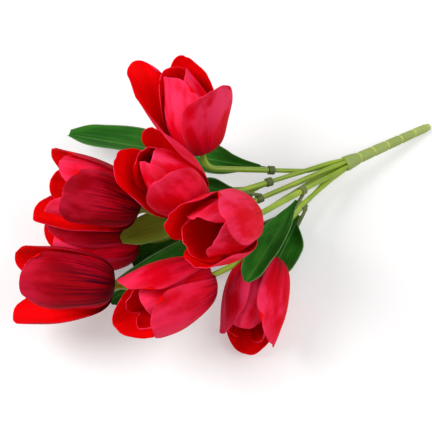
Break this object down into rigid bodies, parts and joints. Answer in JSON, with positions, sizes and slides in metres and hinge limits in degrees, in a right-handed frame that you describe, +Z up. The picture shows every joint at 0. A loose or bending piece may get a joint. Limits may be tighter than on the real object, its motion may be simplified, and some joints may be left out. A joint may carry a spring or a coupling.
{
  "type": "artificial tulip bouquet",
  "caption": "Artificial tulip bouquet lying down: a segmented handle and bendable wired stems, each with a leaf on a ring and a red fabric flower head that turns.",
  "frame": {"origin": "middle of the footprint, on the table that the bouquet lies on", "axes": "+X along the bouquet towards the handle, +Y across it, +Z up from the table"},
  "size_m": [0.3181, 0.2004, 0.1417],
  "materials": {
    "handle_plastic": "matt, pale green with yellowish seams",
    "stem_plastic": "smooth, slightly glossy yellow-green",
    "ring_plastic": "matt dark grey-green",
    "leaf_fabric": "printed polyester, dark green with paler veins and edge",
    "outer_petal_fabric": "printed polyester, crimson with dark streaks from the base",
    "inner_petal_fabric": "printed polyester, scarlet",
    "pistil_plastic": "matt olive"
  },
  "bodies": {
    "handle": {"handle": "handle_plastic"},
    "stem_1": {"branch_1": "stem_plastic", "leaf_ring_1": "ring_plastic", "leaf_1": "leaf_fabric", "flower_stem_1": "stem_plastic"},
    "head_1": {"outer_petals_1": "outer_petal_fabric", "inner_petals_1": "inner_petal_fabric", "pistil_1": "pistil_plastic"},
    "stem_2": {"branch_2": "stem_plastic", "leaf_ring_2": "ring_plastic", "leaf_2": "leaf_fabric", "flower_stem_2": "stem_plastic"},
    "head_2": {"outer_petals_2": "outer_petal_fabric", "inner_petals_2": "inner_petal_fabric", "pistil_2": "pistil_plastic"},
    "stem_3": {"branch_3": "stem_plastic", "leaf_ring_3": "ring_plastic", "leaf_3": "leaf_fabric", "flower_stem_3": "stem_plastic"},
    "head_3": {"outer_petals_3": "outer_petal_fabric", "inner_petals_3": "inner_petal_fabric", "pistil_3": "pistil_plastic"},
    "stem_4": {"branch_4": "stem_plastic", "leaf_ring_4": "ring_plastic", "leaf_4": "leaf_fabric", "flower_stem_4": "stem_plastic"},
    "head_4": {"outer_petals_4": "outer_petal_fabric", "inner_petals_4": "inner_petal_fabric", "pistil_4": "pistil_plastic"},
    "stem_5": {"branch_5": "stem_plastic", "leaf_ring_5": "ring_plastic", "leaf_5": "leaf_fabric", "flower_stem_5": "stem_plastic"},
    "head_5": {"outer_petals_5": "outer_petal_fabric", "inner_petals_5": "inner_petal_fabric", "pistil_5": "pistil_plastic"},
    "stem_6": {"branch_6": "stem_plastic", "leaf_ring_6": "ring_plastic", "leaf_6": "leaf_fabric", "flower_stem_6": "stem_plastic"},
    "head_6": {"outer_petals_6": "outer_petal_fabric", "inner_petals_6": "inner_petal_fabric", "pistil_6": "pistil_plastic"},
    "stem_7": {"branch_7": "stem_plastic", "leaf_ring_7": "ring_plastic", "leaf_7": "leaf_fabric", "flower_stem_7": "stem_plastic"},
    "head_7": {"outer_petals_7": "outer_petal_fabric", "inner_petals_7": "inner_petal_fabric", "pistil_7": "pistil_plastic"},
    "stem_8": {"branch_8": "stem_plastic", "leaf_ring_8": "ring_plastic", "leaf_8": "leaf_fabric", "flower_stem_8": "stem_plastic"},
    "head_8": {"outer_petals_8": "outer_petal_fabric", "inner_petals_8": "inner_petal_fabric", "pistil_8": "pistil_plastic"}
  },
  "joints": [
    {"name": "stem_1_bend", "type": "hinge", "parent": "handle", "child": "stem_1", "pos_m": [0.08669, -0.01017, 0.01955], "axis": [-0.2251, 0.3665, -0.9028], "range_deg": [0, 12]},
    {"name": "head_1_turn", "type": "hinge", "parent": "stem_1", "child": "head_1", "pos_m": [-0.00188, 0.02972, 0.05937], "axis": [0.1015, 0.7115, 0.6953], "continuous": true},
    {"name": "stem_2_bend", "type": "hinge", "parent": "handle", "child": "stem_2", "pos_m": [0.08767, -0.01359, 0.0235], "axis": [-0.0965, 0.9171, -0.3869], "range_deg": [0, 10]},
    {"name": "head_2_turn", "type": "hinge", "parent": "stem_2", "child": "head_2", "pos_m": [-0.02587, -0.00155, 0.06781], "axis": [-0.3502, 0.4002, 0.8469], "continuous": true},
    {"name": "stem_3_bend", "type": "hinge", "parent": "handle", "child": "stem_3", "pos_m": [0.08738, -0.0109, 0.02232], "axis": [-0.2352, 0.2334, -0.9435], "range_deg": [0, 5]},
    {"name": "head_3_turn", "type": "hinge", "parent": "stem_3", "child": "head_3", "pos_m": [-0.05753, 0.01329, 0.0646], "axis": [-0.7203, 0.6357, 0.2775], "continuous": true},
    {"name": "stem_4_bend", "type": "hinge", "parent": "handle", "child": "stem_4", "pos_m": [0.08612, -0.01195, 0.01727], "axis": [-0.2415, -0.061, -0.9685], "range_deg": [0, 10]},
    {"name": "head_4_turn", "type": "hinge", "parent": "stem_4", "child": "head_4", "pos_m": [-0.0623, 0.00899, 0.01887], "axis": [-0.874, 0.4733, 0.1098], "continuous": true},
    {"name": "stem_5_bend", "type": "hinge", "parent": "handle", "child": "stem_5", "pos_m": [0.08685, -0.0135, 0.0202], "axis": [0.1726, -0.7009, 0.6921], "range_deg": [0, 5]},
    {"name": "head_5_turn", "type": "hinge", "parent": "stem_5", "child": "head_5", "pos_m": [-0.09557, -0.01992, 0.04874], "axis": [-0.8307, 0.5289, 0.1738], "continuous": true},
    {"name": "stem_6_bend", "type": "hinge", "parent": "handle", "child": "stem_6", "pos_m": [0.08735, -0.01621, 0.02219], "axis": [0.1893, 0.6225, 0.7594], "range_deg": [0, 12]},
    {"name": "head_6_turn", "type": "hinge", "parent": "stem_6", "child": "head_6", "pos_m": [-0.00473, -0.03221, 0.08028], "axis": [-0.6605, -0.1436, 0.737], "continuous": true},
    {"name": "stem_7_bend", "type": "hinge", "parent": "handle", "child": "stem_7", "pos_m": [0.08665, -0.01679, 0.01938], "axis": [0.2126, 0.4772, 0.8527], "range_deg": [0, 4]},
    {"name": "head_7_turn", "type": "hinge", "parent": "stem_7", "child": "head_7", "pos_m": [-0.04056, -0.04623, 0.05212], "axis": [-0.9157, -0.0551, 0.398], "continuous": true},
    {"name": "stem_8_bend", "type": "hinge", "parent": "handle", "child": "stem_8", "pos_m": [0.0861, -0.01489, 0.01719], "axis": [0.232, -0.284, 0.9303], "range_deg": [0, 12]},
    {"name": "head_8_turn", "type": "hinge", "parent": "stem_8", "child": "head_8", "pos_m": [0.0069, -0.04545, 0.01751], "axis": [-0.742, -0.6548, 0.1437], "continuous": true}
  ]
}
